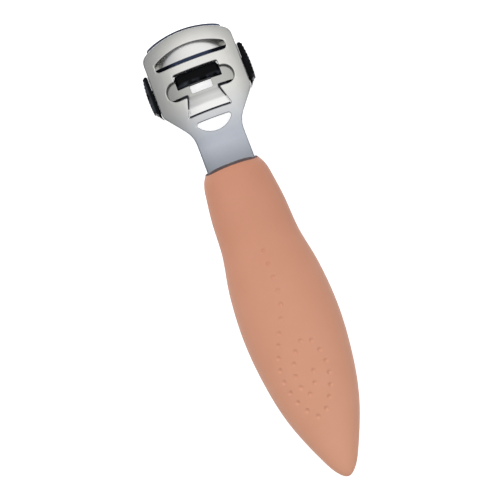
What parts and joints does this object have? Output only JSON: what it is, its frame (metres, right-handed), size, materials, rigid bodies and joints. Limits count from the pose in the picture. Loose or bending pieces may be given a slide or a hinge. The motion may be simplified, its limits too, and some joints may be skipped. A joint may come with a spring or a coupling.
{
  "type": "corn cutter",
  "caption": "Hand-held corn and callus cutter: a slotted steel head with a blade behind it, a hinged clamp plate with black guards, and a long soft-touch handle.",
  "frame": {"origin": "on the flat rest face of the handle's back, midway along the whole tool", "axes": "+Y along the tool towards the head, +Z out of the face that is laid on the skin, +X across"},
  "size_m": [0.038, 0.1712, 0.0159],
  "materials": {
    "steel": "satin",
    "blade_steel": "ground",
    "rivet_steel": "satin",
    "black_plastic": "moulded",
    "core_plastic": "moulded",
    "soft_skin": "soft touch"
  },
  "bodies": {
    "tool": {"head_plate": "steel", "pivot_rivet_right": "rivet_steel", "pivot_rivet_left": "rivet_steel", "handle_core": "core_plastic", "handle_skin": "soft_skin", "tang_pin_front": "rivet_steel", "tang_pin_rear": "rivet_steel"},
    "clamp": {"clamp_plate": "steel", "blade_carrier": "black_plastic", "blade": "blade_steel", "carrier_rivet_right": "rivet_steel", "carrier_rivet_left": "rivet_steel"}
  },
  "joints": [
    {"name": "clamp_hinge", "type": "hinge", "parent": "tool", "child": "clamp", "pos_m": [0, 0.0786, 0.0034], "axis": [1, 0, 0], "range_deg": [0, 14]}
  ]
}
